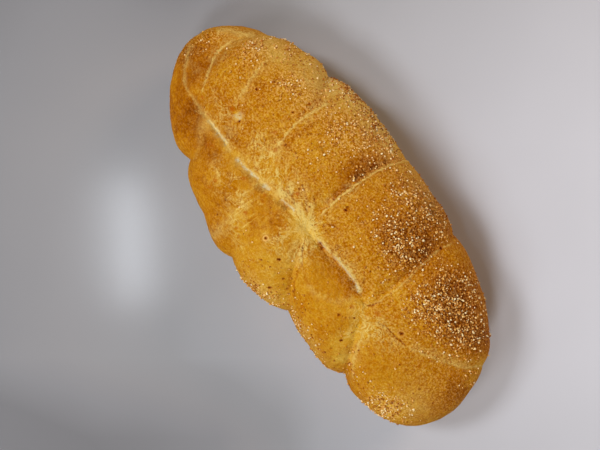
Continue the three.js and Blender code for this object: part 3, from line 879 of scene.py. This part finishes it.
def streaks(tree, place, centre):
    """Pale and dark strands of stretched dough, about zero."""
    total = 0.0
    wander = about_zero(tree, texture_noise(tree, place, 6, 3, 0.6), 4 * MM)
    tufts = rise(tree, texture_noise(tree, place, 5, 2), 0.36, 0.64)
    for k, spec in enumerate(STREAKS):
        if spec["way"]:
            way = Vector((*spec["way"], 0)).normalized()
            along = dot(tree, place, way)
            across = dot(tree, place, Vector((-way.y, way.x, 0)))
        else:
            hub = [(HUB[i] + centre[i]) * MM for i in (0, 1)]
            off_x = minus(tree, dot(tree, place, (1, 0, 0)), hub[0])
            off_y = minus(tree, dot(tree, place, (0, 1, 0)), hub[1])
            off = add(tree, "ShaderNodeCombineXYZ", {0: off_x, 1: off_y}).outputs[0]
            along = add(tree, "ShaderNodeVectorMath", {0: off}, operation="LENGTH").outputs["Value"]
            across = times(tree, maths(tree, "ARCTAN2", off_y, off_x), 13 * MM)
        along = maths(tree, "DIVIDE", along, 9 * MM)
        across = maths(tree, "DIVIDE", plus(tree, across, wander), 1.6 * MM)
        strand = add(tree, "ShaderNodeCombineXYZ", {0: along, 1: across}).outputs[0]
        inputs = {"Vector": strand, "Scale": 1.0, "Detail": 2.0}
        strand = add(tree, "ShaderNodeTexNoise", inputs).outputs["Fac"]
        strand = times(tree, about_zero(tree, strand, 1), attribute(tree, f"streak_{k}"))
        total = plus(tree, total, strand)
    return times(tree, total, tufts)


def fine_line(tree, kind, jitter):
    """How strong a kind of fine line is here."""
    off = plus(tree, attribute(tree, kind + "_off"), jitter)
    return times(tree, attribute(tree, kind + "_line"), bell(tree, times(tree, off, off)))


def spot_offset(tree, name, jitter):
    """How far the nearest spot of a kind is, in its radii."""
    off = [plus(tree, attribute(tree, name + part), jitter) for part in ("_x", "_y")]
    off = add(tree, "ShaderNodeCombineXYZ", {0: off[0], 1: off[1]}).outputs[0]
    return add(tree, "ShaderNodeVectorMath", {0: off}, operation="LENGTH").outputs["Value"]


def spot(tree, name, jitter, width):
    """How strong a kind of spot is here, for spots of this many radii."""
    off = maths(tree, "POWER", maths(tree, "DIVIDE", spot_offset(tree, name, jitter), width), 4)
    return times(tree, attribute(tree, name), bell(tree, off))


def crust_material(centre):
    material, tree, shader = new_material("crust", roughness=0.6, specular=0.02)
    place = add(tree, "ShaderNodeTexCoord").outputs["Object"]
    rough = attribute(tree, "rough")
    fine = texture_noise(tree, place, 1.3, 2, 0.6)
    blotch = texture_noise(tree, place, 3.2, 3, 0.55)
    jitter = plus(tree, about_zero(tree, fine, 2.0), about_zero(tree, blotch, 1.5))
    web = texture_noise(tree, place, 2.6, 1, distortion=1.5)
    web = maths(tree, "ABSOLUTE", about_zero(tree, web, 1.0), 0)
    web = rise(tree, web, 0.06, 0.0)
    strands = streaks(tree, place, centre)
    threads = maths(tree, "ABSOLUTE", about_zero(tree, texture_noise(tree, place, 6, 2, 0.5, 1.3), 1.0), 0)
    threads = times(tree, rise(tree, threads, 0.08, 0.02), attribute(tree, "threads"))
    threads = times(tree, threads, rise(tree, texture_noise(tree, place, 10, 2), 0.40, 0.58))

    speckle = minus(tree, about_zero(tree, fine, 0.9), about_zero(tree, web, 0.26))
    bake = plus(tree, attribute(tree, "bake"), times(tree, speckle, attribute(tree, "speckle")))
    bake = plus(tree, bake, about_zero(tree, blotch, 0.36))
    bake = minus(tree, bake, times(tree, strands, 1.3))
    crumbs = about_zero(tree, texture_noise(tree, place, 1.5, 2, 0.5), 1.6)
    bake = plus(tree, bake, times(tree, crumbs, maths(tree, "POWER", rough, 1.5)))
    bake = plus(tree, bake, fine_line(tree, "bake", jitter))
    shade = ramp(tree, bake, CRUST_SHADES)

    dusty = minus(tree, texture_noise(tree, place, 1.4, 2, 0.6), about_zero(tree, fine, 0.7))
    dusty = rise(tree, dusty, 0.46, 0.66)
    dust = times(tree, attribute(tree, "dust"), dusty)
    shade = cover(tree, dust, shade, DUST_SHADE)
    flour = plus(tree, attribute(tree, "flour"), fine_line(tree, "flour", jitter))
    flour = plus(tree, flour, rise(tree, strands, 0.02, 0.28))
    flour = plus(tree, flour, threads)
    patchy = plus(tree, about_zero(tree, fine, -2.5), times(tree, strands, 4.0))
    flour = times(tree, flour, plus(tree, patchy, 1.0))
    shade = cover(tree, flour, shade, FLOUR_AND_PAINTED_LIGHT_SHADE)
    shade = mix(tree, times(tree, spot(tree, "red", jitter, 1.0), 0.85), shade, RED_SHADE)
    shade = mix(tree, times(tree, spot(tree, "pit", jitter, 1.2), 0.7), shade, RED_SHADE)
    ring = times(tree, minus(tree, spot_offset(tree, "ring", 0), 1), 4)
    ring = times(tree, attribute(tree, "ring"), bell(tree, times(tree, ring, ring)))
    shade = mix(tree, maths(tree, "MINIMUM", ring, 0.9), shade, DUST_SHADE)
    ash = times(tree, fine_line(tree, "ash", jitter), rise(tree, fine, 0.35, 0.55))
    shade = mix(tree, ash, shade, ASH_SHADE)
    # The darkest: pits, scorched lines, and the painted shadows beside the seam's slits.
    char = plus(tree, spot(tree, "pit", jitter, 0.7), fine_line(tree, "char", jitter))
    shade = cover(tree, char, shade, CHAR_AND_PAINTED_SHADOW_SHADE, 1)
    tree.links.new(shade, shader.inputs["Base Color"])

    height = plus(tree, fine, times(tree, blotch, 1.6))
    height = plus(tree, height, times(tree, web, 0.3))
    height = plus(tree, height, times(tree, strands, 1.5))
    height = plus(tree, height, times(tree, threads, 0.8))
    height = minus(tree, height, char)
    bump = add(tree, "ShaderNodeBump", {"Height": height, "Distance": 0.35 * MM, "Strength": 1.0})
    tree.links.new(bump.outputs["Normal"], shader.inputs["Normal"])
    return material


def semolina_material():
    material, tree, shader = new_material("semolina", roughness=0.5, specular=0.3)
    place = add(tree, "ShaderNodeTexCoord").outputs["Object"]
    tone = plus(tree, attribute(tree, "tone"), about_zero(tree, texture_noise(tree, place, 0.5), 0.3))
    stops = [
        (0.0, colour(166, 94, 20)),
        (0.35, colour(206, 138, 52)),
        (0.65, colour(240, 190, 104)),
        (1.0, colour(255, 240, 190)),
    ]
    tree.links.new(ramp(tree, tone, stops), shader.inputs["Base Color"])
    return material


# ---- Floor, light and camera ----

# The picture's right and up, in the loaf's own axes: the loaf lies aslant in it.
SLANT = math.radians(54.39)
PICTURE_RIGHT = Vector((math.cos(SLANT), math.sin(SLANT), 0))
PICTURE_UP = Vector((-math.sin(SLANT), math.cos(SLANT), 0))

# Lamps: which way they stand (degrees from the picture's right towards its top), how high, how
# far in metres, their width and height, and how much light they give.
COOL, WARM = (0.95, 0.99, 1.06), (1.25, 0.97, 0.74)
LIGHTS = {
    "left": {"turn": 162, "climb": 47, "far": 2.2, "size": (0.5, 0.45), "share": 0.37, "shade": COOL},
    "middle": {"turn": 208, "climb": 45, "far": 2.2, "size": (0.5, 0.45), "share": 0.13, "shade": COOL},
    "lower_left": {"turn": 246, "climb": 47, "far": 2.2, "size": (0.5, 0.45), "share": 0.28, "shade": COOL},
    "right": {"turn": 38, "climb": 24, "far": 2.2, "size": (0.9, 0.9), "share": 0.138, "shade": WARM},
    "strip": {"turn": 185, "climb": 69, "far": 1.3, "size": (0.32, 0.08), "share": 0.07, "shade": COOL},
}

WORLD = {"over": (0.0875, 0.0679, 0.0518, 1), "round": (0.27, 0.265, 0.26, 1)}

CAMERA = {"at": (-8.7, -15.6, 474.5), "lens": 38.4}  # the lens for a sensor 36 mm wide


def make_floor():
    half = 2.6
    mesh = bpy.data.meshes.new("floor")
    corners = [(-half, -half, 0), (half, -half, 0), (half, half, 0), (-half, half, 0)]
    mesh.from_pydata(corners, [], [(0, 1, 2, 3)])
    material, tree, shader = new_material("floor", roughness=0.19, specular=0.5)
    place = add(tree, "ShaderNodeTexCoord").outputs["Object"]
    # Painted light: the floor's colour runs from darker on the left to lighter on the right, as light falls
    # across it.
    across = dot(tree, place, PICTURE_RIGHT)
    across = plus(tree, across, about_zero(tree, texture_noise(tree, place, 120, 2), 0.06))
    up = dot(tree, place, PICTURE_UP)
    band = maths(tree, "POWER", maths(tree, "DIVIDE", plus(tree, across, 0.10), 0.06), 2)
    # Painted shade: darker in a band at the top left of the middle, in the lower left corner, and towards
    # the top and the bottom.
    painted_shade_terms = [
        (0.13, times(tree, rise(tree, up, 0.09, 0.17), bell(tree, band))),
        (0.14, times(tree, rise(tree, up, -0.10, -0.16), rise(tree, across, 0.0, -0.08))),
        (0.07, rise(tree, up, 0.06, 0.17)),
        (0.07, rise(tree, up, -0.10, -0.20)),
    ]
    level = across
    for amount, share in painted_shade_terms:
        level = minus(tree, level, times(tree, share, amount))
    painted_light_shades = [
        (0.0, colour(124, 123, 124)),
        (0.133, colour(140, 139, 140)),
        (0.258, colour(150, 148, 148)),
        (0.385, colour(155, 154, 154)),
        (1.0, colour(221, 221, 226)),
    ]
    tree.links.new(ramp(tree, rise(tree, level, -0.35, 0.25), painted_light_shades), shader.inputs["Base Color"])
    mesh.materials.append(material)
    floor = bpy.data.objects.new("floor", mesh)
    bpy.context.collection.objects.link(floor)


def make_light(name, spec):
    """A lamp that faces the loaf, and gives a level white surface its share of full white."""
    data = bpy.data.lights.new(name, "AREA")
    data.shape = "RECTANGLE"
    data.size, data.size_y = spec["size"]
    data.color = spec["shade"]
    turn, climb = math.radians(spec["turn"]), math.radians(spec["climb"])
    data.energy = (math.pi * spec["far"]) ** 2 * spec["share"] / math.sin(climb)
    level = PICTURE_RIGHT * math.cos(turn) + PICTURE_UP * math.sin(turn)
    lamp = bpy.data.objects.new(name, data)
    bpy.context.collection.objects.link(lamp)
    lamp.location = (level * math.cos(climb) + Vector((0, 0, math.sin(climb)))) * spec["far"]
    lamp.rotation_euler = (-lamp.location).to_track_quat("-Z", "Y").to_euler()
    lamp.visible_glossy = name == "strip"  # the others would be mirrored in the floor


def make_camera():
    data = bpy.data.cameras.new("camera")
    data.lens = CAMERA["lens"]
    data.sensor_width = 36
    camera = bpy.data.objects.new("camera", data)
    bpy.context.collection.objects.link(camera)
    camera.location = Vector(CAMERA["at"]) * MM
    camera.rotation_euler = (0, 0, SLANT)
    bpy.context.scene.camera = camera


def make_world():
    """Dim and warm overhead, and pale round the horizon as the floor is."""
    world = bpy.data.worlds.new("world")
    world.use_nodes = True
    tree = world.node_tree
    way = add(tree, "ShaderNodeTexCoord").outputs["Generated"]
    height = rise(tree, dot(tree, way, (0, 0, 1)), 0.03, 0.24)
    shade = mix(tree, height, WORLD["round"], WORLD["over"])
    tree.links.new(shade, tree.nodes["Background"].inputs["Color"])
    bpy.context.scene.world = world


# ---- Put together ----

points, faces, ring, marks = crust_form()
shift = centre_shift(points)
closed_points, face_groups, closed_marks = close_base(points, faces, ring, marks)
crust = make_mesh("bread_crust", closed_points + shift, face_groups, closed_marks, crust_material(shift))
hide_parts("loaf")
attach(crust, "root")

semolina = make_semolina(points, faces, marks, shift, semolina_material())
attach(semolina, "root")

make_floor()
for name, spec in LIGHTS.items():
    make_light(name, spec)
make_world()
make_camera()
bpy.context.scene.view_settings.view_transform = "Standard"
